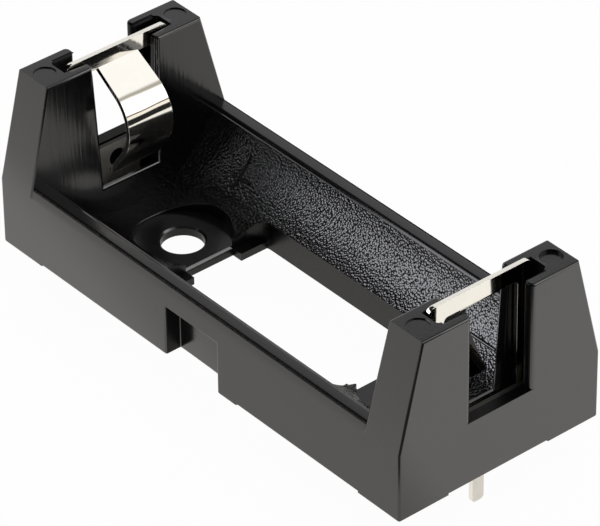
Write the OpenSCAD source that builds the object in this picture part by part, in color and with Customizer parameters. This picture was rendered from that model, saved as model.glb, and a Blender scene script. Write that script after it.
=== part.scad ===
// Open holder for one cylindrical photo lithium cell, soldered and screwed to a circuit board.
// A moulded housing carries one formed spring contact in each of its two end towers.
// Frame: x runs along the cell, y across it, z up. The origin is on the board, under the middle.

/* [Cell] */
// Diameter of the cell
cell_d = 17; // [15:0.1:20]
// Length of the cell over its end caps
cell_len = 34.5; // [32:0.1:42]
// Clearance round the cell in its trough
cell_gap = 0.25; // [0.1:0.05:0.5]

/* [Trough] */
// Thickness of the side walls at the height of the axis of the cell
wall_t = 1; // [0.8:0.05:1.6]
// Height of the side walls above the board
wall_h = 6.8; // [6.4:0.1:8]
// Height of the lowest line of the trough above the board
floor_z = 1.05; // [0.95:0.05:1.4]
// How far the outer faces of the side walls lean in at their top
wall_lean = 0.3; // [0.05:0.05:0.5]
// Chamfer along the inner edges at the top of the side walls
rim_chamfer = 0.2; // [0.05:0.05:0.3]

/* [Towers] */
// Thickness of a tower at its foot
tower_foot_t = 4; // [3.9:0.05:4.8]
// Thickness of a tower at its top
tower_top_t = 3.65; // [3.4:0.05:3.8]
// Height of the towers above the axis of the cell
tower_over_axis = 5.3; // [5.1:0.05:7]
// Height at which the sides of a tower start to slope in
slope_z = 6; // [5.5:0.1:6.2]
// How far each side of a tower has come in at its top
slope_in = 2.2; // [1.6:0.1:2.5]
// Diameter of the ejector pin marks in the tops of the towers
ejector_d = 1.8; // [1.4:0.1:2]
// Depth of the ejector pin marks
ejector_depth = 0.1; // [0.05:0.05:0.2]
// How much deeper the mark over the leg of the negative contact is
ejector_extra = 0.15; // [0:0.05:0.2]

/* [Contact seats] */
// Width of the slot in the outer wall of a tower
slot_w = 5.7; // [5.5:0.1:6.2]
// Width of the slot in the inner wall, at the top of the tower
inner_slot_top_w = 6.2; // [5.8:0.1:6.6]
// Width of the slot in the inner wall, at its sill
inner_slot_w = 5.3; // [5.1:0.1:5.8]
// Height of the outer sill of the slot above the board
sill_z = 5.7; // [5.2:0.1:6.2]
// Height of the inner sill of the slot, on the side of the cell
inner_sill_z = 3.85; // [3.4:0.05:4.6]
// Thickness of the wall outside a contact
outer_wall_t = 1; // [0.8:0.05:1.2]
// Thickness of the wall under the inner sill
inner_wall_t = 0.6; // [0.5:0.05:0.9]
// Chamfer on the edges of the slot towards the cell
slot_chamfer = 0.2; // [0.1:0.05:0.3]
// Rounding of the edges of the slot in the outer wall
slot_round = 0.45; // [0.1:0.05:0.5]
// Chamfer on the upper edge of the seat, along the outer wall
seat_lead = 0.2; // [0.1:0.05:0.3]
// Rounding of the corners of the seat at the outer wall
seat_round = 0.35; // [0.2:0.05:0.5]
// Clearance round a contact in its seat
contact_gap = 0.1; // [0.05:0.01:0.15]
// Clearance past the ends of the head of a contact
head_end_gap = 0.3; // [0.1:0.05:0.5]

/* [Floor] */
// Length of the window in the floor, at its middle
window_len = 20; // [17:0.1:21]
// Width of the window in the floor
window_w = 10; // [8:0.1:10.6]
// Width of the middle part of the window, between the corner tabs
window_mid_w = 4.7; // [4:0.1:6]
// Radius of the corners of the window, above the corner tabs
window_round = 1.4; // [0.6:0.1:2]
// Chamfer on the upper edges at the two ends of the window
window_chamfer = 0.2; // [0.05:0.05:0.3]
// How far the corner tabs reach into the window
tab_reach = 1; // [0.4:0.05:1.3]
// Thickness of the corner tabs
tab_t = 0.65; // [0.4:0.05:0.8]
// Distance between the two screw holes
screw_spacing = 26.6; // [25.4:0.1:28]
// Diameter of the screw holes
screw_d = 3.5; // [3:0.1:3.6]
// Diameter of the flat seats round the screw holes
screw_seat_d = 7.9; // [6.5:0.1:8.4]
// Depth of the screw seats below the lowest line of the trough
screw_seat_sink = 0.1; // [0.05:0.05:0.2]
// Chamfer round the upper rims of the screw holes
screw_rim = 0.15; // [0.05:0.05:0.3]

/* [Feet and side notches] */
// Height of the feet under the housing
foot_h = 0.15; // [0.1:0.05:0.3]
// Length of a corner foot along the housing
foot_len = 4.7; // [4:0.1:5.5]
// Width of a corner foot across the housing
foot_w = 4.9; // [4:0.1:5.5]
// Length of a side notch
notch_len = 6; // [5:0.1:7]
// Distance of the middle of a side notch from the middle of the housing
notch_shift = 0.25; // [0:0.05:1.5]
// Depth of a side notch
notch_depth = 1.4; // [0.8:0.1:1.6]
// Height of a side notch above the board
notch_h = 4.6; // [3:0.1:4.8]
// Length of the small foot beside a side notch
notch_foot_len = 2.15; // [1.5:0.05:3]

/* [Contacts] */
// Thickness of the spring strip
sheet_t = 0.4; // [0.3:0.01:0.45]
// Room in front of each tower for its contact, beside the cell
leaf_room = 2.15; // [1.9:0.05:2.6]
// How far the cell presses each contact back
leaf_preload = 0.5; // [0.2:0.05:0.8]
// Outer radius of the bow of the leaf
bow_r = 3.6; // [3.3:0.05:3.8]
// How far the middle of the bow lies below the axis of the cell
bow_drop = 0.15; // [0:0.05:0.4]
// Angle from the horizontal at which the bow meets the upper arm of the leaf
upper_angle = 58; // [52:1:60]
// Angle from the horizontal at which the bow meets the tail of the leaf
lower_angle = 35; // [28:1:40]
// Length of the tail of the leaf below the bow
tail_len = 2.7; // [2:0.1:3]
// Width of the leaf at its root
leaf_root_w = 3.9; // [3.2:0.1:4.2]
// Width of the leaf at its free end
leaf_end_w = 4.8; // [4.2:0.1:5]
// Length of the head of a contact
head_len = 9.9; // [9.4:0.1:10.2]
// How far the head stands above the top of the tower
head_proud = 0.3; // [0:0.05:0.5]
// Radius of the corners of the head
head_round = 0.6; // [0.3:0.05:0.7]
// Width of the short ear at one end of the head
ear_w = 1.45; // [1.3:0.05:1.6]
// How far the short ear hangs below the root of the leaf
ear_drop = 0.6; // [0.5:0.05:0.8]
// Rounding of the lower corners of the short ear
ear_round = 0.3; // [0.2:0.05:0.45]
// Radius of the inner corners where the ear and the leg leave the head
head_fillet = 0.4; // [0.2:0.05:0.45]
// Width of the leg that joins the head to the base
leg_w = 1.35; // [1.1:0.05:1.5]
// Gap inside the bend at the foot of the leg
bend_gap = 0.8; // [0.7:0.05:0.85]
// Diameter of the hole in the base
base_hole_d = 1.5; // [1:0.1:1.8]
// Distance of the hole in the base from the middle of the contact
base_hole_shift = 0.5; // [0:0.05:0.8]
// Height of the hole in the base above the board
base_hole_z = 4.15; // [3.6:0.05:4.5]
// Width of the solder pin
pin_w = 1.15; // [0.9:0.05:1.4]
// Distance of the solder pin from the middle of the contact
pin_shift = 1.1; // [0.6:0.05:1.6]
// Length of the solder pin below the board's upper face
pin_len = 3; // [2.5:0.1:4.5]
// Rounding of the corners at the tip of the pin
pin_round = 0.35; // [0.1:0.05:0.4]

/* [Hidden] */
$fn = 96;
// Overlap of cutting shapes past the faces that they open
cut = 1;
housing_colour = "#2a2a2c";
contact_colour = "#d9d5c9";

// Trough and housing, worked out from the cell
trough_r = cell_d / 2 + cell_gap;
axis_z = floor_z + trough_r;
half_w = trough_r + wall_t;
bay_len = cell_len + 2 * leaf_room;
body_len = bay_len + 2 * tower_foot_t;
tower_h = axis_z + tower_over_axis;
tower_top_half_w = half_w - slope_in;
rim_half = sqrt(pow(trough_r, 2) - pow(axis_z - wall_h, 2));
seat_z = floor_z - screw_seat_sink;
draft_angle = atan((tower_foot_t - tower_top_t) / (tower_h - floor_z));
slot_flare = (inner_slot_top_w - inner_slot_w) / 2 / (tower_h - inner_sill_z);
slot_edge_r = min(slot_round, outer_wall_t / 2 - 0.05);

// Distances of a contact and its seat from the outer end of the housing
base_p = outer_wall_t + contact_gap;
leg_p = base_p + sheet_t + bend_gap;
seat_end_p = leg_p + sheet_t + contact_gap;
head_half = head_len / 2;
seat_half = head_half + head_end_gap;
inner_wall_p = tower_foot_t - inner_wall_t;

// Leaf, worked out from the place of the end of the cell
bow_p = tower_foot_t + leaf_room + leaf_preload - bow_r;
bow_mid_r = bow_r - sheet_t / 2;
arm_len = (bow_p + bow_mid_r * cos(upper_angle) - leg_p - sheet_t / 2) / sin(upper_angle);
bow_z = axis_z - bow_drop;
root_z = bow_z + bow_mid_r * sin(upper_angle) + arm_len * cos(upper_angle);
leaf_end_z = bow_z - bow_mid_r * sin(lower_angle) - tail_len * cos(lower_angle);

// Heights of the parts of a contact
head_top_z = tower_h + head_proud;
head_low_z = root_z;
bend_r = sheet_t + bend_gap / 2;
bend_z = floor_z + contact_gap + bend_r;
base_top_z = sill_z - contact_gap;
base_half = slot_w / 2 - contact_gap;

// Places both ends: seen from its own outer face, each end is the same
module at_each_end() {
    for (turn = [0, 180]) rotate([0, 0, turn]) at_end() children();
}

// Local frame of an end: x goes in from the outer face, y across, z up
module at_end() {
    translate([-body_len / 2, 0, 0]) children();
}

// A flat shape in y and z, given a thickness along x
module plate(thickness) {
    rotate([90, 0, 90]) linear_extrude(thickness) children();
}

// A section in x and z, drawn out along y between two places
module bar(from, to) {
    translate([0, to, 0]) rotate([90, 0, 0]) linear_extrude(to - from) children();
}

// The sliver between a corner and the round that fills it, with the corner at the origin
module corner_fill(r) {
    difference() {
        square(r);
        translate([r, r]) circle(r);
    }
}

// A rectangle up from the height low to the height high, with its lower corners rounded
module round_ended(w, low, high, r) {
    translate([-w / 2, low + r]) square([w, high - low - r]);
    translate([-w / 2 + r, low]) square([w - 2 * r, r + cut / 10]);
    for (side = [-1, 1]) translate([side * (w / 2 - r), low + r]) circle(r);
}

// Housing: section of the floor and the side walls, with the trough for the cell
module tray_section() {
    difference() {
        polygon([
            [-half_w, foot_h], [half_w, foot_h], [half_w, slope_z],
            [half_w - wall_lean, wall_h], [-half_w + wall_lean, wall_h], [-half_w, slope_z]
        ]);
        translate([0, axis_z]) circle(trough_r);
        polygon([
            [-rim_half, wall_h - rim_chamfer], [rim_half, wall_h - rim_chamfer],
            [rim_half + rim_chamfer, wall_h], [rim_half + rim_chamfer, wall_h + cut],
            [-rim_half - rim_chamfer, wall_h + cut], [-rim_half - rim_chamfer, wall_h]
        ]);
    }
}

// Housing: the tray between the towers, reaching into their inner walls
module tray() {
    tray_len = bay_len + 2 * inner_wall_t;
    translate([-tray_len / 2, 0, 0]) plate(tray_len) tray_section();
}

// Housing: one end tower, upright outside, drafted towards the cell and sloping in at its sides
module tower() {
    intersection() {
        plate(tower_foot_t) polygon([
            [-half_w, foot_h], [half_w, foot_h], [half_w, slope_z], [tower_top_half_w, tower_h],
            [-tower_top_half_w, tower_h], [-half_w, slope_z]
        ]);
        bar(-half_w - cut, half_w + cut) polygon([
            [0, 0], [tower_foot_t, 0], [tower_foot_t, floor_z], [tower_top_t, tower_h], [0, tower_h]
        ]);
    }
}

// Plan of the slot in the outer wall, with its four edges rounded
module slot_plan() {
    translate([-cut, -slot_w / 2]) square([outer_wall_t + 2 * cut, slot_w]);
    for (side = [0, 1]) mirror([0, side]) {
        translate([0, slot_w / 2]) corner_fill(slot_edge_r);
        translate([outer_wall_t, slot_w / 2]) mirror([1, 0]) corner_fill(slot_edge_r);
    }
}

// Plan of the seat of a contact, between the outer and the inner wall
module seat_plan() {
    straight = seat_half - seat_round;
    translate([outer_wall_t + seat_round, -seat_half])
        square([seat_end_p - outer_wall_t - seat_round, 2 * seat_half]);
    translate([outer_wall_t, -straight]) square([2 * seat_round, 2 * straight]);
    for (side = [-1, 1]) translate([outer_wall_t + seat_round, side * straight]) circle(seat_round);
}

// Section of the chamfer along the upper edge of the seat
module seat_lead_in() {
    polygon([
        [outer_wall_t, tower_h - seat_lead], [outer_wall_t + seat_round, tower_h - seat_lead],
        [outer_wall_t + seat_round, tower_h + cut], [outer_wall_t - seat_lead - cut, tower_h + cut]
    ]);
}

// Opening in the inner wall, which widens upwards
module inner_slot() {
    low = inner_slot_w / 2;
    top = low + slot_flare * (tower_h + cut - inner_sill_z);
    translate([seat_end_p - cut, 0, 0]) plate(tower_foot_t) polygon([
        [-low, inner_sill_z], [low, inner_sill_z], [top, tower_h + cut], [-top, tower_h + cut]
    ]);
    slot_chamfers();
}

// Cut through a tower: the slots in its two walls and the seat of the contact between them
module contact_seat() {
    straight = seat_half - seat_round;
    translate([0, 0, sill_z]) linear_extrude(tower_h) slot_plan();
    inner_slot();
    translate([outer_wall_t + cut, -inner_slot_w / 2, floor_z])
        cube([inner_wall_p - outer_wall_t - cut, inner_slot_w, inner_sill_z - floor_z + cut / 10]);
    translate([0, 0, floor_z]) linear_extrude(tower_h) seat_plan();
    bar(-straight, straight) seat_lead_in();
    translate([outer_wall_t, pin_shift - pin_w / 2 - contact_gap, -cut])
        cube([sheet_t + 2 * contact_gap, pin_w + 2 * contact_gap, floor_z + 2 * cut]);
}

// Chamfers on the upright edges of the inner slot above its sill, on the drafted face
module slot_chamfers() {
    foot_half_w = inner_slot_w / 2 - slot_flare * (inner_sill_z - floor_z);
    intersection() {
        translate([tower_foot_t, 0, floor_z]) rotate([0, -draft_angle, 0])
            for (side = [0, 1]) mirror([0, side, 0])
                translate([0, foot_half_w, 0]) rotate([-atan(slot_flare), 0, 0]) linear_extrude(2 * tower_h)
                    polygon([
                        [-slot_chamfer, -cut], [cut, -cut], [cut, slot_chamfer + cut], [-slot_chamfer, 0]
                    ]);
        translate([0, -half_w, inner_sill_z]) cube([2 * tower_foot_t, 2 * half_w, tower_h]);
    }
}

// Round mark that an ejector pin leaves in the top of the post on one side
module ejector_mark(side, depth) {
    mark_y = (seat_half + tower_top_half_w) / 2;
    translate([tower_top_t / 2, side * mark_y, tower_h - depth]) cylinder(d = ejector_d, h = depth + cut);
}

// Window through the floor: a rectangle with round corners, which leaves a thin tab in each corner
module floor_window() {
    difference() {
        translate([0, 0, -cut]) linear_extrude(axis_z) window_plan();
        for (turn = [0, 180], side = [0, 1]) rotate([0, 0, turn]) mirror([0, side, 0]) corner_tab();
    }
    bar(-window_mid_w / 2, window_mid_w / 2) window_chamfers();
}

// One corner tab of the window, with room beyond the corner
module corner_tab() {
    translate([window_len / 2 - tab_reach, window_mid_w / 2, -2 * cut])
        cube([tab_reach + cut, window_w, foot_h + tab_t + 2 * cut]);
}

// Plan of the window
module window_plan() {
    straight_len = window_len - 2 * window_round;
    straight_w = window_w - 2 * window_round;
    translate([-straight_len / 2, -window_w / 2]) square([straight_len, window_w]);
    translate([-window_len / 2, -straight_w / 2]) square([window_len, straight_w]);
    for (x = [-straight_len / 2, straight_len / 2], y = [-straight_w / 2, straight_w / 2])
        translate([x, y]) circle(window_round);
}

// Section of the chamfers on the ends of the window, level with the screw seats
module window_chamfers() {
    half = window_len / 2;
    top = half + window_chamfer;
    polygon([
        [-half, seat_z - window_chamfer], [half, seat_z - window_chamfer], [top, seat_z],
        [top, seat_z + cut], [-top, seat_z + cut], [-top, seat_z]
    ]);
}

// Screw holes with flat seats for the heads of the screws
module screw_holes() {
    for (side = [-1, 1]) translate([side * screw_spacing / 2, 0, 0]) {
        translate([0, 0, -cut]) cylinder(d = screw_d, h = axis_z);
        translate([0, 0, seat_z]) cylinder(d = screw_seat_d, h = axis_z);
        translate([0, 0, seat_z - screw_rim])
            cylinder(d1 = screw_d, d2 = screw_d + 4 * screw_rim, h = 2 * screw_rim);
    }
}

// Notches in the two long sides, one turned half round from the other
module side_notches() {
    for (turn = [0, 180]) rotate([0, 0, turn])
        translate([-notch_shift - notch_len / 2, -half_w - cut, -cut])
            cube([notch_len, notch_depth + cut, notch_h + cut]);
}

// Feet under the four corners and beside the notches
module feet() {
    at_each_end() for (side = [0, 1]) mirror([0, side, 0])
        translate([0, half_w - foot_w, 0]) cube([foot_len, foot_w, foot_h + cut / 10]);
    for (turn = [0, 180]) rotate([0, 0, turn])
        translate([notch_len / 2 - notch_shift, -half_w, 0])
            cube([notch_foot_len, notch_depth, foot_h + cut / 10]);
}

module housing() {
    color(housing_colour) difference() {
        union() {
            tray();
            at_each_end() tower();
            feet();
        }
        at_each_end() {
            contact_seat();
            for (side = [-1, 1]) ejector_mark(side, ejector_depth);
        }
        rotate([0, 0, 180]) at_end() ejector_mark(-1, ejector_depth + ejector_extra);
        floor_window();
        screw_holes();
        side_notches();
    }
}

// Contact: the head that spans the two posts, its short ear and the leg on the other side
module head_and_leg() {
    ear_low = head_low_z - ear_drop;
    head_h = head_top_z - head_low_z;
    round_z = head_top_z - head_round;
    translate([-head_half + head_round, head_low_z]) square([head_len - 2 * head_round, head_h]);
    translate([-head_half, head_low_z]) square([head_len, head_h - head_round]);
    for (side = [-1, 1]) translate([side * (head_half - head_round), round_z]) circle(head_round);
    translate([head_half - ear_w / 2, 0]) round_ended(ear_w, ear_low, head_low_z + cut / 10, ear_round);
    translate([-head_half, bend_z]) square([leg_w, head_low_z - bend_z + cut / 10]);
    translate([-head_half + leg_w, head_low_z]) mirror([0, 1]) corner_fill(head_fillet);
    translate([head_half - ear_w, head_low_z]) rotate(180) corner_fill(head_fillet);
}

// Contact: the strip of the leaf, an arm from the head, a bow and a free tail
module leaf_strip(w) {
    inner_r = bow_r - sheet_t;
    translate([bow_p, w / 2, bow_z]) rotate([90, 0, 0]) {
        rotate(-lower_angle) rotate_extrude(angle = lower_angle + upper_angle)
            translate([inner_r, 0]) square([sheet_t, w]);
        rotate(upper_angle) translate([inner_r, 0, 0]) cube([sheet_t, arm_len, w]);
        rotate(upper_angle) translate([inner_r + sheet_t / 2, arm_len, 0]) cylinder(d = sheet_t, h = w);
        rotate(-lower_angle) translate([inner_r, -tail_len, 0]) cube([sheet_t, tail_len, w]);
    }
}

// Contact: the leaf, cut to its taper
module leaf() {
    top = root_z + sheet_t;
    low = leaf_end_z - sheet_t;
    intersection() {
        leaf_strip(2 * leaf_end_w);
        plate(bow_p + 2 * bow_r) polygon([
            [-leaf_root_w / 2, top], [leaf_root_w / 2, top], [leaf_end_w / 2, low], [-leaf_end_w / 2, low]
        ]);
    }
}

// Contact: the bend at the foot of the leg, which stands on the floor of the seat
module foot_bend() {
    bar(-head_half, -head_half + leg_w) translate([base_p + bend_r, bend_z]) difference() {
        circle(bend_r);
        circle(bend_gap / 2);
        translate([-2 * bend_r, 0]) square(4 * bend_r);
    }
}

// Contact: the base behind the outer wall, with its hole and the solder pin below
module base_and_pin() {
    difference() {
        union() {
            translate([-head_half, bend_z]) square([head_half + base_half, base_top_z - bend_z]);
            translate([pin_shift, 0]) round_ended(pin_w, -pin_len, bend_z + cut / 10, pin_round);
        }
        translate([base_hole_shift, base_hole_z]) circle(d = base_hole_d);
    }
}

// One contact in the local frame of an end, cut and bent from a single strip
module contact() {
    color(contact_colour) {
        translate([leg_p, 0, 0]) plate(sheet_t) head_and_leg();
        leaf();
        foot_bend();
        translate([base_p, 0, 0]) plate(sheet_t) base_and_pin();
    }
}

module positive_contact() {
    at_end() contact();
}

module negative_contact() {
    rotate([0, 0, 180]) at_end() contact();
}

housing();
positive_contact();
negative_contact();
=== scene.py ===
# Open battery holder for one short lithium cell: a black moulded housing with a nickel-plated
# spring contact in each end tower. Lengths are in millimetres until a mesh is made.
import math

import bmesh
import bpy
from mathutils import Matrix, Vector


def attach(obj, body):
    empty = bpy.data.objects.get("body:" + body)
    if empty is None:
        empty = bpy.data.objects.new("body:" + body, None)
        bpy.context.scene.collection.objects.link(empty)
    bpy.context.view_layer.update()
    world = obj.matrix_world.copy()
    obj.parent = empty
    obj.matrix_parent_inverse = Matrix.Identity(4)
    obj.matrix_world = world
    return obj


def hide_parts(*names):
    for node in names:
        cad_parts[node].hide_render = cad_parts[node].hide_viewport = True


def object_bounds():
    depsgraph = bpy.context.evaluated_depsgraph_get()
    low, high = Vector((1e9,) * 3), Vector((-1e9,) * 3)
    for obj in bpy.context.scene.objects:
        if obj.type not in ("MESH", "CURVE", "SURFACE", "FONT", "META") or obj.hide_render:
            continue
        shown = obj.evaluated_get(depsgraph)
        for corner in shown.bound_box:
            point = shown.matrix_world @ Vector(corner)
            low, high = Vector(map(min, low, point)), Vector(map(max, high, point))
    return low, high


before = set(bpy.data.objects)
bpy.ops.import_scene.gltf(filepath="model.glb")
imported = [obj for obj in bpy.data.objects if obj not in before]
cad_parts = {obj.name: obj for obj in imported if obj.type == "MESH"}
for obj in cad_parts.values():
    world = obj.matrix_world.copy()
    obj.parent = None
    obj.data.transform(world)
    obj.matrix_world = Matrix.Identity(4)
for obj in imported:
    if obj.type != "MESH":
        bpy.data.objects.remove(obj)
cad_low, cad_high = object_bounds()
scene = bpy.context.scene
scene.view_settings.view_transform = "Standard"


# Housing
# One injection moulding in black plastic: a spark-eroded trough for the cell between two drafted
# end towers with slots for the contacts. It is screwed to the board through the trough's floor.
mm = 0.001
trough_radius = 8.75
trough_axis_z = 9.8
tower_top_z = 15.1
wall_top_z = 6.8
tower_inner_x = (19.3, 19.85)
tower_outer_x = (22.35, 23.4)
seat_half_y = 5.3
notch_top_z = 4.6
notch_half_x = 4
edge_radius = 0.2
floor_radius = 0.1
floor_edge_length = 3
floor_edge_z = 3
screw_x = 13.3
screw_seat_radius = 3.95
screw_seat_z = 0.95
screw_seat_edge = 0.06
window_half = (10.2, 5.1)
slot_shade_z = 5
dull_floor_y = (4.3, 5.1)
mark_x = (20.4, 22.8)
mark_y = (5.6, 8)
notch_fillet = 0.1
seat_corner_y = 4.6
least_radius = 0.04
room_share = 0.45
rim_slack = 0.05
rim_reach = 2
top_depth = 0.3
face_slack = 0.03
facing_up = 0.95
flat_within = math.radians(0.2)
sharp_from = math.radians(28)
shaded_sharp_from = math.radians(34)
housing_colour = (0.0040, 0.0040, 0.0042)
# A darker copy of the plastic's colour for the trough, the tower insides and the recesses: painted shade.
shaded_plastic_colour = (0.0020, 0.0020, 0.0023)


def room_beside(edge):
    """Distance from the middle of an edge, across each of its faces, to that face's next edge."""
    least = 1.0
    for loop in edge.link_loops:
        start = loop.vert.co
        end = loop.link_loop_next.vert.co
        along = (end - start).normalized()
        across = loop.face.normal.cross(along)
        middle = (start + end) / 2
        for other in loop.face.loops:
            near = other.vert.co - middle
            far = other.link_loop_next.vert.co - middle
            near_along = near.dot(along)
            far_along = far.dot(along)
            if (near_along > 0) == (far_along > 0):
                continue
            share = near_along / (near_along - far_along)
            reach = near.dot(across) + (far.dot(across) - near.dot(across)) * share
            if reach > 1e-9:
                least = min(least, reach)
    return least


def moulded_radius(edge):
    """Rounding of an edge of the moulding: crisp in the floor and the seats, and never more than fits."""
    middle = (edge.verts[0].co + edge.verts[1].co) / 2 / mm
    if not edge.is_convex:
        upright = abs(edge.verts[0].co.z - edge.verts[1].co.z) > 0.9 * edge.calc_length()
        in_notch = abs(middle.x) < notch_half_x and middle.z < notch_top_z and abs(middle.y) > seat_half_y
        return notch_fillet if upright and in_notch else 0
    in_floor = abs(middle.x) < tower_inner_x[0] and abs(middle.y) < seat_half_y and middle.z < floor_edge_z
    if in_floor and edge.calc_length() < floor_edge_length * mm:
        across_seat = math.hypot(abs(middle.x) - screw_x, middle.y)
        on_rim = abs(across_seat - screw_seat_radius) < rim_slack and abs(middle.x) > screw_x - rim_reach
        return screw_seat_edge if on_rim and middle.z > screw_seat_z + rim_slack else 0
    in_seat_corner = abs(middle.x) < tower_outer_x[0] + 0.1 and seat_corner_y < abs(middle.y) < seat_half_y
    on_mark = mark_x[0] < abs(middle.x) < mark_x[1] and mark_y[0] < abs(middle.y) < mark_y[1]
    if (in_seat_corner or on_mark) and middle.z > tower_top_z - top_depth:
        return 0
    radius = min(floor_radius if in_floor else edge_radius, room_share * room_beside(edge) / mm)
    return radius if radius > least_radius else 0


def baked(piece):
    """Replaces a piece's mesh by what its modifiers make of it."""
    evaluated = piece.evaluated_get(bpy.context.evaluated_depsgraph_get())
    finished = bpy.data.meshes.new_from_object(evaluated)
    piece.modifiers.clear()
    piece.data = finished


def rounded_copy(node_name, piece_name, radius_of, widest):
    """A copy of a solid's mesh with its flat faces whole and its sharp outer edges rounded."""
    shell = bmesh.new()
    shell.from_mesh(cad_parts[node_name].data)
    bmesh.ops.remove_doubles(shell, verts=shell.verts, dist=0.001 * mm)
    bmesh.ops.dissolve_limit(shell, angle_limit=flat_within, verts=shell.verts, edges=shell.edges)
    weight = shell.edges.layers.float.new("bevel_weight_edge")
    for edge in shell.edges:
        if edge.calc_face_angle(0) > sharp_from:
            edge[weight] = radius_of(edge) / widest
    mesh = bpy.data.meshes.new(piece_name)
    shell.to_mesh(mesh)
    shell.free()
    if "custom_normal" in mesh.attributes:
        mesh.attributes.remove(mesh.attributes["custom_normal"])
    piece = bpy.data.objects.new(piece_name, mesh)
    scene.collection.objects.link(piece)
    rounding = piece.modifiers.new("rounded edges", "BEVEL")
    rounding.limit_method = "WEIGHT"
    rounding.offset_type = "OFFSET"
    rounding.width = widest * mm
    rounding.segments = 3
    rounding.use_clamp_overlap = False
    baked(piece)
    piece.data.shade_smooth()
    piece.data.set_sharp_from_angle(angle=shaded_sharp_from)
    even = piece.modifiers.new("even normals", "WEIGHTED_NORMAL")
    even.keep_sharp = True
    baked(piece)
    return piece


def noise(tree, place, scale, detail=2.0, roughness=0.5):
    """A noise texture on a piece's own coordinates, with its scale in features for each metre."""
    texture = tree.nodes.new("ShaderNodeTexNoise")
    texture.inputs["Scale"].default_value = scale
    texture.inputs["Detail"].default_value = detail
    texture.inputs["Roughness"].default_value = roughness
    tree.links.new(place, texture.inputs["Vector"])
    return texture.outputs["Fac"]


def ranged(tree, value, low, high):
    """Spreads the middle of a noise over the range from low to high."""
    spread = tree.nodes.new("ShaderNodeMapRange")
    spread.inputs["From Min"].default_value = 0.3
    spread.inputs["From Max"].default_value = 0.7
    spread.inputs["To Min"].default_value = low
    spread.inputs["To Max"].default_value = high
    tree.links.new(value, spread.inputs["Value"])
    return spread.outputs["Result"]


def craters(tree, place, scale):
    """Round craters side by side, with their scale in craters for each metre."""
    cells = tree.nodes.new("ShaderNodeTexVoronoi")
    cells.feature = "F1"
    cells.inputs["Scale"].default_value = scale
    tree.links.new(place, cells.inputs["Vector"])
    bowl = tree.nodes.new("ShaderNodeMath")
    bowl.operation = "MULTIPLY"
    tree.links.new(cells.outputs["Distance"], bowl.inputs[0])
    tree.links.new(cells.outputs["Distance"], bowl.inputs[1])
    return bowl.outputs["Value"]


def moulded_plastic(name, colour, gloss, roughness, grain, depth, stretch=(1, 1, 1), eroded=False):
    """Black plastic with the grain of its mould: grain size and depth in millimetres."""
    material = bpy.data.materials.new(name)
    material.use_nodes = True
    tree = material.node_tree
    skin = tree.nodes["Principled BSDF"]
    skin.inputs["IOR"].default_value = 1.6
    skin.inputs["Specular IOR Level"].default_value = gloss
    coordinates = tree.nodes.new("ShaderNodeTexCoord")
    run = tree.nodes.new("ShaderNodeMapping")
    run.inputs["Scale"].default_value = stretch
    tree.links.new(coordinates.outputs["Object"], run.inputs["Vector"])
    place = run.outputs["Vector"]
    cloud = noise(tree, coordinates.outputs["Object"], 260, detail=3)
    pits = craters(tree, place, 1 / (grain * mm)) if eroded else noise(tree, place, 1 / (grain * mm))
    tone = tree.nodes.new("ShaderNodeMix")
    tone.data_type = "RGBA"
    tone.inputs["A"].default_value = (*[0.8 * c for c in colour], 1)
    tone.inputs["B"].default_value = (*[1.25 * c for c in colour], 1)
    tree.links.new(cloud, tone.inputs["Factor"])
    tree.links.new(tone.outputs["Result"], skin.inputs["Base Color"])
    sheen = tree.nodes.new("ShaderNodeMath")
    sheen.operation = "ADD"
    tree.links.new(ranged(tree, cloud, 0.85 * roughness, roughness), sheen.inputs[0])
    tree.links.new(ranged(tree, pits, 0, 0.25 * roughness), sheen.inputs[1])
    tree.links.new(sheen.outputs["Value"], skin.inputs["Roughness"])
    relief = tree.nodes.new("ShaderNodeBump")
    relief.inputs["Strength"].default_value = 1
    relief.inputs["Distance"].default_value = depth * mm
    tree.links.new(pits, relief.inputs["Height"])
    tree.links.new(relief.outputs["Normal"], skin.inputs["Normal"])
    return material


smooth_skin, eroded_skin, drawn_skin, grained_skin = range(4)
deep_shade_skin, light_shade_skin, floor_skin, floor_side_skin = range(4, 8)


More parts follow.
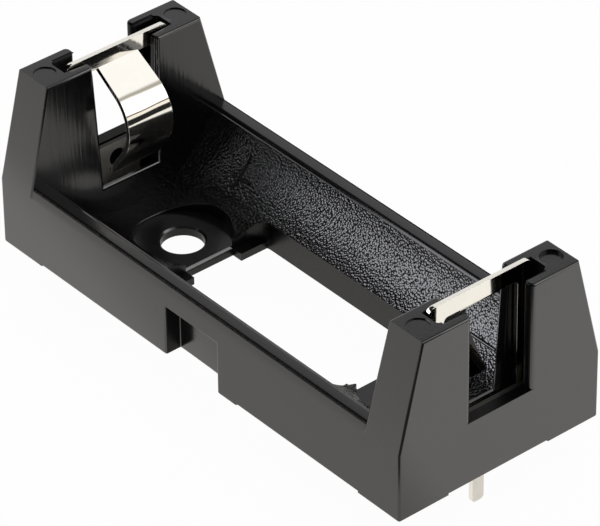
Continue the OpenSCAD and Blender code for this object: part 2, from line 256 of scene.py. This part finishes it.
def moulded_zone(face):
    """Which finish of the mould a face of the housing took, as a material index; some are painted shade.
    """
    middle = face.center / mm
    normal = face.normal
    axis_gap = math.hypot(middle.y, middle.z - trough_axis_z)
    if abs(axis_gap - trough_radius) < face_slack and abs(normal.x) < 0.1 and middle.z < wall_top_z:
        # The floor of the trough, and less so the strips beside it, take the eroded plastic with less
        # reflection than the walls.
        if abs(middle.y) < dull_floor_y[0]:
            return floor_skin
        return floor_side_skin if abs(middle.y) < dull_floor_y[1] else eroded_skin
    if abs(normal.x) > 0.98 and tower_inner_x[0] < abs(middle.x) < tower_inner_x[1]:
        return drawn_skin
    on_top = middle.z > tower_top_z - top_depth or abs(middle.z - wall_top_z) < face_slack
    if normal.z > facing_up and on_top:
        return grained_skin
    # Painted shade: slot and pocket insides, notch sides, tab tops and low slot edges reflect far less;
    # window and screw hole walls somewhat less.
    inside_tower = tower_inner_x[1] + 0.2 < abs(middle.x) < tower_outer_x[1] - 0.15
    if inside_tower and abs(middle.y) < seat_half_y:
        return deep_shade_skin
    if abs(normal.x) > 0.9 and abs(middle.x) < notch_half_x and middle.z < notch_top_z:
        return deep_shade_skin
    in_window = abs(middle.x) < window_half[0] and abs(middle.y) < window_half[1]
    if in_window and normal.z > facing_up and middle.z < screw_seat_z:
        return deep_shade_skin
    across_seat = math.hypot(abs(middle.x) - screw_x, middle.y)
    if across_seat < screw_seat_radius and normal.z > facing_up and middle.z < floor_edge_z:
        return grained_skin
    in_screw_seat = across_seat < screw_seat_radius + 0.1
    if (in_window or in_screw_seat) and middle.z < floor_edge_z and abs(normal.z) < 0.5:
        return light_shade_skin
    beside_slot = tower_inner_x[0] - 0.2 < abs(middle.x) < tower_inner_x[1] + 0.3
    if beside_slot and abs(middle.y) < seat_half_y and abs(normal.z) < 0.3 and middle.z < slot_shade_z:
        return deep_shade_skin
    return smooth_skin


housing = rounded_copy("housing", "moulded_housing", moulded_radius, edge_radius)
housing.data.materials.clear()
for finish in (
    moulded_plastic("smooth black plastic", housing_colour, 0.9, 0.16, 0.3, 0.002),
    moulded_plastic("spark eroded black plastic", shaded_plastic_colour, 1, 0.18, 0.2, 0.042, eroded=True),
    moulded_plastic("drawn black plastic", shaded_plastic_colour, 0.5, 0.16, 0.25, 0.01, (1, 1, 0.03)),
    moulded_plastic("grained black plastic", housing_colour, 0.44, 0.22, 0.2, 0.006),
    # Copies of the plastic that reflect less: painted shade.
    moulded_plastic("black plastic in painted shade", shaded_plastic_colour, 0.12, 0.35, 0.3, 0.004),
    moulded_plastic("black plastic in light painted shade", shaded_plastic_colour, 0.25, 0.3, 0.3, 0.004),
    moulded_plastic("eroded floor", shaded_plastic_colour, 0.3, 0.18, 0.2, 0.042, eroded=True),
    moulded_plastic("eroded floor side", shaded_plastic_colour, 0.6, 0.18, 0.2, 0.042, eroded=True),
):
    housing.data.materials.append(finish)
for face in housing.data.polygons:
    face.material_index = moulded_zone(face)
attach(housing, "root")
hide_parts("housing")


# Polarity marks
# Plain raised signs moulded with the right wall of the trough, a plus at the positive contact and a
# minus at the negative one. Each stroke is a thin ridge that follows the curve of the wall.
mark_width = 0.3
mark_strokes = (
    ((-13.9, 5.88), (-13.9, 9.02)),
    ((-15.13, 6.95), (-12.7, 6.95)),
    ((12.8, 6.9), (16.0, 6.9)),
)


def ridges_round_trough():
    """Nodes that wrap flat strokes round the trough and raise a ridge along each."""
    tree = bpy.data.node_groups.new("ridges round trough", "GeometryNodeTree")
    sockets = tree.interface
    sockets.new_socket("Strokes", in_out="INPUT", socket_type="NodeSocketGeometry")
    for name in ("Trough Radius", "Axis Height", "Ridge Width"):
        sockets.new_socket(name, in_out="INPUT", socket_type="NodeSocketFloat")
    sockets.new_socket("Finish", in_out="INPUT", socket_type="NodeSocketMaterial")
    sockets.new_socket("Ridges", in_out="OUTPUT", socket_type="NodeSocketGeometry")
    given = tree.nodes.new("NodeGroupInput")

    def maths(operation, first, second=None):
        step = tree.nodes.new("ShaderNodeMath")
        step.operation = operation
        tree.links.new(first, step.inputs[0])
        if second is not None:
            tree.links.new(second, step.inputs[1])
        return step.outputs["Value"]

    path = tree.nodes.new("GeometryNodeMeshToCurve")
    tree.links.new(given.outputs["Strokes"], path.inputs["Mesh"])
    points = tree.nodes.new("GeometryNodeResampleCurve")
    points.inputs["Count"].default_value = 24
    tree.links.new(path.outputs["Curve"], points.inputs["Curve"])
    position = tree.nodes.new("GeometryNodeInputPosition")
    flat = tree.nodes.new("ShaderNodeSeparateXYZ")
    tree.links.new(position.outputs["Position"], flat.inputs["Vector"])
    radius = given.outputs["Trough Radius"]
    angle = maths("DIVIDE", flat.outputs["Y"], radius)
    out = maths("MULTIPLY", radius, maths("SINE", angle))
    down = maths("MULTIPLY", radius, maths("COSINE", angle))
    wrapped = tree.nodes.new("ShaderNodeCombineXYZ")
    tree.links.new(flat.outputs["X"], wrapped.inputs["X"])
    tree.links.new(out, wrapped.inputs["Y"])
    tree.links.new(maths("SUBTRACT", given.outputs["Axis Height"], down), wrapped.inputs["Z"])
    laid = tree.nodes.new("GeometryNodeSetPosition")
    tree.links.new(points.outputs["Curve"], laid.inputs["Geometry"])
    tree.links.new(wrapped.outputs["Vector"], laid.inputs["Position"])
    section = tree.nodes.new("GeometryNodeCurvePrimitiveCircle")
    section.inputs["Resolution"].default_value = 12
    half = tree.nodes.new("ShaderNodeMath")
    half.operation = "MULTIPLY"
    half.inputs[1].default_value = 0.5
    tree.links.new(given.outputs["Ridge Width"], half.inputs[0])
    tree.links.new(half.outputs["Value"], section.inputs["Radius"])
    ridge = tree.nodes.new("GeometryNodeCurveToMesh")
    ridge.inputs["Fill Caps"].default_value = True
    tree.links.new(laid.outputs["Geometry"], ridge.inputs["Curve"])
    tree.links.new(section.outputs["Curve"], ridge.inputs["Profile Curve"])
    single = tree.nodes.new("GeometryNodeRealizeInstances")
    tree.links.new(ridge.outputs["Mesh"], single.inputs["Geometry"])
    finished = tree.nodes.new("GeometryNodeSetMaterial")
    tree.links.new(single.outputs["Geometry"], finished.inputs["Geometry"])
    tree.links.new(given.outputs["Finish"], finished.inputs["Material"])
    result = tree.nodes.new("NodeGroupOutput")
    tree.links.new(finished.outputs["Geometry"], result.inputs["Ridges"])
    return tree


stroke_ends = [(x * mm, s * mm, 0) for stroke in mark_strokes for x, s in stroke]
stroke_mesh = bpy.data.meshes.new("polarity_marks")
stroke_mesh.from_pydata(stroke_ends, [(n, n + 1) for n in range(0, len(stroke_ends), 2)], [])
marks = bpy.data.objects.new("polarity_marks", stroke_mesh)
scene.collection.objects.link(marks)
ridges = marks.modifiers.new("ridges", "NODES")
ridges.node_group = ridges_round_trough()
ridge_values = {
    "Trough Radius": trough_radius * mm,
    "Axis Height": trough_axis_z * mm,
    "Ridge Width": mark_width * mm,
    "Finish": bpy.data.materials["smooth black plastic"],
}
for socket in ridges.node_group.interface.items_tree:
    if socket.name in ridge_values:
        ridges[socket.identifier] = ridge_values[socket.name]
baked(marks)
marks.data.shade_smooth()
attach(marks, "root")


# Contacts
# Each contact is one strip of nickel-plated spring steel, cut out and bent: a head across the
# posts, a bowed leaf that presses on the cell, and a base with a solder pin through the floor.
sheet_edge_radius = 0.03
nickel_colour = (0.95, 0.92, 0.85)
satin_share = 0.85
edge_shade_share = 0.12
base_x = (21.8, 22.4)
base_top_z = 6.0


def nickel_plate(name, colour, smoothest, roughest):
    """Plating with faint rolling marks and slightly uneven gloss."""
    material = bpy.data.materials.new(name)
    material.use_nodes = True
    tree = material.node_tree
    skin = tree.nodes["Principled BSDF"]
    skin.inputs["Metallic"].default_value = 1
    coordinates = tree.nodes.new("ShaderNodeTexCoord")
    run = tree.nodes.new("ShaderNodeMapping")
    run.inputs["Scale"].default_value = (1, 6, 1)
    tree.links.new(coordinates.outputs["Object"], run.inputs["Vector"])
    cloud = noise(tree, coordinates.outputs["Object"], 500, detail=3)
    lines = noise(tree, run.outputs["Vector"], 2200, detail=3)
    waves = noise(tree, coordinates.outputs["Object"], 240, detail=1)
    tone = tree.nodes.new("ShaderNodeMix")
    tone.data_type = "RGBA"
    tone.inputs["A"].default_value = (*[0.95 * c for c in colour], 1)
    tone.inputs["B"].default_value = (*[1.05 * c for c in colour], 1)
    tree.links.new(cloud, tone.inputs["Factor"])
    tree.links.new(tone.outputs["Result"], skin.inputs["Base Color"])
    tree.links.new(ranged(tree, lines, smoothest, roughest), skin.inputs["Roughness"])
    relief = tree.nodes.new("ShaderNodeBump")
    relief.inputs["Strength"].default_value = 1
    relief.inputs["Distance"].default_value = 0.0006 * mm
    tree.links.new(lines, relief.inputs["Height"])
    swell = tree.nodes.new("ShaderNodeBump")
    swell.inputs["Strength"].default_value = 1
    swell.inputs["Distance"].default_value = 0.04 * mm
    tree.links.new(waves, swell.inputs["Height"])
    tree.links.new(swell.outputs["Normal"], relief.inputs["Normal"])
    tree.links.new(relief.outputs["Normal"], skin.inputs["Normal"])
    return material


def sheet_radius(edge):
    """Rounding of an edge of the stamped sheet: outer edges only."""
    return sheet_edge_radius if edge.is_convex else 0


bright_plating = nickel_plate("bright nickel plate", nickel_colour, 0.04, 0.08)
satin_plating = nickel_plate("satin nickel plate", [satin_share * c for c in nickel_colour], 0.5, 0.6)
# The upper edge of the base, deep in its slot, takes a dark copy of the plating: painted shade.
shaded_edge_plating = nickel_plate("nickel plate in painted shade", [edge_shade_share * c for c in nickel_colour], 0.5, 0.6)
bright_face, satin_face, shaded_edge_face = range(3)
for node_name in ("positive_contact", "negative_contact"):
    piece_name = "plated_" + node_name
    contact = rounded_copy(node_name, piece_name, sheet_radius, sheet_edge_radius)
    contact.data.materials.clear()
    for plating in (bright_plating, satin_plating, shaded_edge_plating):
        contact.data.materials.append(plating)
    for face in contact.data.polygons:
        on_base = base_x[0] * mm < abs(face.center.x) < base_x[1] * mm
        face.material_index = bright_face
        # Painted shade on the base's upper edge; the rest of the base is satin.
        if on_base and 0 < face.center.z < base_top_z * mm:
            face.material_index = shaded_edge_face if face.normal.z > 0.4 else satin_face
    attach(contact, "root")
    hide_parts(node_name)


# Studio floor
# A plain white sheet under the tips of the solder pins, which keeps a trace of the holder's shadow.
# It is white to the eye. In reflections it has painted shade: dim towards the camera, with a dark patch
# under the lens.
floor_half = 0.09
floor_z = cad_low.z - 0.02 * mm
shadow_share_seen = 0.03
shadow_share_mirrored = 0.2
lens_shade_start = 29 * mm
lens_shade_full = 36 * mm
lens_shade_share = 0.9
lens_shade_side = (-30 * mm, -10 * mm)
dusk_start = 8 * mm
dusk_full = 13 * mm
dusk_share = 0.28


def seen_or_mirrored(tree, seen=1.0, mirrored=1.0):
    """A share for rays from the camera, one for reflected or refracted rays, and 0 for the rest."""
    path = tree.nodes.new("ShaderNodeLightPath")
    shares = {"Is Camera Ray": seen, "Is Glossy Ray": mirrored, "Is Transmission Ray": mirrored}
    most = None
    for kind, share in shares.items():
        part = tree.nodes.new("ShaderNodeMath")
        part.operation = "MULTIPLY"
        part.inputs[1].default_value = share
        tree.links.new(path.outputs[kind], part.inputs[0])
        if most is None:
            most = part.outputs["Value"]
            continue
        larger = tree.nodes.new("ShaderNodeMath")
        larger.operation = "MAXIMUM"
        tree.links.new(most, larger.inputs[0])
        tree.links.new(part.outputs["Value"], larger.inputs[1])
        most = larger.outputs["Value"]
    return most


floor_mesh = bpy.data.meshes.new("floor")
corners = [(-1, -1), (1, -1), (1, 1), (-1, 1)]
floor_mesh.from_pydata([(x * floor_half, y * floor_half, floor_z) for x, y in corners], [], [(0, 1, 2, 3)])
floor = bpy.data.objects.new("floor", floor_mesh)
scene.collection.objects.link(floor)
sweep = bpy.data.materials.new("white sweep")
sweep.use_nodes = True
tree = sweep.node_tree
tree.nodes.clear()
paper = tree.nodes.new("ShaderNodeBsdfDiffuse")
paper.inputs["Color"].default_value = (0.85, 0.85, 0.85, 1)
glow = tree.nodes.new("ShaderNodeEmission")
glow.inputs["Strength"].default_value = 1
warmth = tree.nodes.new("ShaderNodeMix")
warmth.data_type = "RGBA"
warmth.inputs["A"].default_value = (1, 0.98, 0.94, 1)
warmth.inputs["B"].default_value = (1, 1, 1, 1)
tree.links.new(seen_or_mirrored(tree, 1, 0), warmth.inputs["Factor"])
tree.links.new(warmth.outputs["Result"], glow.inputs["Color"])
both = tree.nodes.new("ShaderNodeMixShader")
glow_share = seen_or_mirrored(tree, 1 - shadow_share_seen, 1 - shadow_share_mirrored)
tree.links.new(glow_share, both.inputs["Fac"])
tree.links.new(paper.outputs["BSDF"], both.inputs[1])
tree.links.new(glow.outputs["Emission"], both.inputs[2])
place = tree.nodes.new("ShaderNodeTexCoord")


def dark_beyond(towards, nearest, farthest, share):
    """Painted shade that darkens the sheet gradually in one direction, up to a share."""
    ahead = tree.nodes.new("ShaderNodeVectorMath")
    ahead.operation = "DOT_PRODUCT"
    ahead.inputs[1].default_value = towards
    tree.links.new(place.outputs["Object"], ahead.inputs[0])
    dark = tree.nodes.new("ShaderNodeMapRange")
    dark.interpolation_type = "SMOOTHSTEP"
    dark.inputs["From Min"].default_value = nearest
    dark.inputs["From Max"].default_value = farthest
    dark.inputs["To Max"].default_value = share
    tree.links.new(ahead.outputs["Value"], dark.inputs["Value"])
    return dark.outputs["Result"]


# Painted shade seen only in reflections: dark under the lens and dimmer on the side of the left wall.
lens_shade = tree.nodes.new("ShaderNodeMath")
lens_shade.operation = "MULTIPLY"
tree.links.new(dark_beyond((0.65, -0.76, 0), lens_shade_start, lens_shade_full, lens_shade_share), lens_shade.inputs[0])
tree.links.new(dark_beyond((0.76, 0.65, 0), *lens_shade_side, 1), lens_shade.inputs[1])
darker = tree.nodes.new("ShaderNodeMath")
darker.operation = "MAXIMUM"
tree.links.new(lens_shade.outputs["Value"], darker.inputs[0])
tree.links.new(dark_beyond((0.25, -0.97, 0), dusk_start, dusk_full, dusk_share), darker.inputs[1])
mirrored_shade = tree.nodes.new("ShaderNodeMath")
mirrored_shade.operation = "MULTIPLY"
tree.links.new(darker.outputs["Value"], mirrored_shade.inputs[0])
tree.links.new(seen_or_mirrored(tree, 0), mirrored_shade.inputs[1])
black = tree.nodes.new("ShaderNodeEmission")
black.inputs["Strength"].default_value = 0
floor_with_shade = tree.nodes.new("ShaderNodeMixShader")
tree.links.new(mirrored_shade.outputs["Value"], floor_with_shade.inputs["Fac"])
tree.links.new(both.outputs["Shader"], floor_with_shade.inputs[1])
tree.links.new(black.outputs["Emission"], floor_with_shade.inputs[2])
surface = tree.nodes.new("ShaderNodeOutputMaterial")
tree.links.new(floor_with_shade.outputs["Shader"], surface.inputs["Surface"])
floor_mesh.materials.append(sweep)


# Studio light
# A white tent on a table, with two soft boxes over the right shoulder and one behind on the left.
# The lamps light the holder. It mirrors the tent with its bright left panel and dark roof, the dark
# round the camera, and a black card that keeps the panel from the far end of the trough.
ambient_strength = 0.6
mirrored_strength = 2
tent_round = (
    (0.000, (0.40, 0.40, 0.40)),
    (0.620, (0.40, 0.40, 0.40)),
    (0.700, (0.01, 0.01, 0.01)),
)
tent_left = (
    (0.000, (0.50, 0.50, 0.50)),
    (0.120, (0.50, 0.50, 0.50)),
    (0.260, (1.7, 1.72, 1.83)),
    (0.500, (1.7, 1.72, 1.83)),
    (0.660, (0.01, 0.01, 0.01)),
)
tent_right = (
    (0.090, (0.01, 0.01, 0.01)),
    (0.106, (0.50, 0.47, 0.43)),
    (0.205, (0.50, 0.47, 0.43)),
    (0.215, (0.06, 0.05, 0.04)),
    (0.250, (0.06, 0.05, 0.04)),
    (0.275, (1.0, 1.0, 1.0)),
    (0.660, (1.0, 1.0, 1.0)),
    (0.730, (0.22, 0.21, 0.19)),
    (0.770, (0.22, 0.21, 0.19)),
    (0.810, (0.52, 0.52, 0.52)),
)
tent_front = (
    (0.0, (0.01, 0.01, 0.01)),
    (1.0, (0.03, 0.03, 0.03)),
)
world = bpy.data.worlds.new("white tent")
world.use_nodes = True
scene.world = world
tree = world.node_tree
tree.nodes.clear()
direction = tree.nodes.new("ShaderNodeTexCoord")
height = tree.nodes.new("ShaderNodeSeparateXYZ")
tree.links.new(direction.outputs["Generated"], height.inputs["Vector"])


def tent_wall(bands):
    """Colours of the tent from the horizon, at height 0, to its roof, at height 1."""
    wall = tree.nodes.new("ShaderNodeValToRGB")
    tree.links.new(height.outputs["Z"], wall.inputs["Fac"])
    for number, (position, colour) in enumerate(bands):
        known = number < len(wall.color_ramp.elements)
        band = wall.color_ramp.elements[number] if known else wall.color_ramp.elements.new(position)
        band.position = position
        band.color = (*colour, 1)
    return wall.outputs["Color"]


level = tree.nodes.new("ShaderNodeVectorMath")
level.operation = "MULTIPLY"
level.inputs[1].default_value = (1, 1, 0)
tree.links.new(direction.outputs["Generated"], level.inputs[0])
bearing = tree.nodes.new("ShaderNodeVectorMath")
bearing.operation = "NORMALIZE"
tree.links.new(level.outputs["Vector"], bearing.inputs[0])


def beside(first, second, towards, outside, inside):
    """Goes over from one tent wall to another in the half of the tent that lies in a direction."""
    facing = tree.nodes.new("ShaderNodeVectorMath")
    facing.operation = "DOT_PRODUCT"
    facing.inputs[1].default_value = towards
    tree.links.new(bearing.outputs["Vector"], facing.inputs[0])
    share = tree.nodes.new("ShaderNodeMapRange")
    share.interpolation_type = "SMOOTHSTEP"
    share.inputs["From Min"].default_value = outside
    share.inputs["From Max"].default_value = inside
    tree.links.new(facing.outputs["Value"], share.inputs["Value"])
    wall = tree.nodes.new("ShaderNodeMix")
    wall.data_type = "RGBA"
    tree.links.new(share.outputs["Result"], wall.inputs["Factor"])
    tree.links.new(first, wall.inputs["A"])
    tree.links.new(second, wall.inputs["B"])
    return wall.outputs["Result"]


tent = beside(tent_wall(tent_round), tent_wall(tent_right), (0.76, 0.65, 0), 0.5, 0.8)
tent = beside(tent, tent_wall(tent_left), (-0.72, -0.69, 0), 0.80, 0.93)
tent = beside(tent, tent_wall(tent_front), (0.6, -0.8, 0), 0.35, 0.65)
mirrored = tree.nodes.new("ShaderNodeBackground")
mirrored.inputs["Strength"].default_value = mirrored_strength
tree.links.new(tent, mirrored.inputs["Color"])
ambient = tree.nodes.new("ShaderNodeBackground")
ambient.inputs["Strength"].default_value = ambient_strength
white = tree.nodes.new("ShaderNodeBackground")
white.inputs["Color"].default_value = (1, 1, 1, 1)
inside = tree.nodes.new("ShaderNodeMixShader")
tree.links.new(seen_or_mirrored(tree, 0), inside.inputs["Fac"])
tree.links.new(ambient.outputs["Background"], inside.inputs[1])
tree.links.new(mirrored.outputs["Background"], inside.inputs[2])
both = tree.nodes.new("ShaderNodeMixShader")
tree.links.new(seen_or_mirrored(tree, 1, 0), both.inputs["Fac"])
tree.links.new(inside.outputs["Shader"], both.inputs[1])
tree.links.new(white.outputs["Background"], both.inputs[2])
surface = tree.nodes.new("ShaderNodeOutputWorld")
tree.links.new(both.outputs["Shader"], surface.inputs["Surface"])


def soft_box(name, towards, distance, width, energy):
    """A square area lamp that looks back at the holder from one direction."""
    lamp = bpy.data.lights.new(name, "AREA")
    lamp.size = width
    lamp.energy = energy
    box = bpy.data.objects.new(name, lamp)
    box.location = Vector(towards).normalized() * distance
    box.rotation_euler = Vector(towards).to_track_quat("Z", "Y").to_euler()
    box.visible_camera = False
    box.visible_glossy = False
    scene.collection.objects.link(box)
    return box


soft_box("upper right soft box", (0.22, 0.22, 0.95), 0.7, 0.48, 0.91)
soft_box("lower right soft box", (0.64, 0.577, 0.508), 0.7, 0.39, 0.64)
soft_box("left soft box", (-0.62, -0.58, 0.52), 0.7, 0.45, 1.0)

card_ends = ((-43.4, -3.9), (-27.6, -17.8))
card_heights = (13, 50)
card_corners = [(x * mm, y * mm, z * mm) for z in card_heights for x, y in card_ends]
card_mesh = bpy.data.meshes.new("black card")
card_mesh.from_pydata(card_corners, [], [(0, 1, 3, 2)])
card_paint = bpy.data.materials.new("black card")
card_paint.use_nodes = True
matt = card_paint.node_tree.nodes["Principled BSDF"]
matt.inputs["Base Color"].default_value = (0, 0, 0, 1)
matt.inputs["Specular IOR Level"].default_value = 0
card_mesh.materials.append(card_paint)
card = bpy.data.objects.new("black card", card_mesh)
card.visible_camera = False
card.visible_diffuse = False
card.visible_shadow = False
scene.collection.objects.link(card)


# Camera
# Stands off the negative end, above the left wall, as the photograph was taken.
view_target = Vector((0.776, 0.112, 6.262)) * mm
view_distance = 366.16 * mm
view_azimuth = math.radians(-39.754)
view_elevation = math.radians(35.486)
view_roll = math.radians(-0.75)
towards_camera = Vector((
    math.cos(view_elevation) * math.cos(view_azimuth),
    math.cos(view_elevation) * math.sin(view_azimuth),
    math.sin(view_elevation),
))
lens = bpy.data.cameras.new("camera")
lens.sensor_width = 36
lens.lens = 292.12
lens.clip_start = 0.01
lens.clip_end = 20
camera = bpy.data.objects.new("camera", lens)
camera.location = view_target + towards_camera * view_distance
turn = towards_camera.to_track_quat("Z", "Y").to_matrix() @ Matrix.Rotation(view_roll, 3, "Z")
camera.rotation_euler = turn.to_euler()
scene.collection.objects.link(camera)
scene.camera = camera
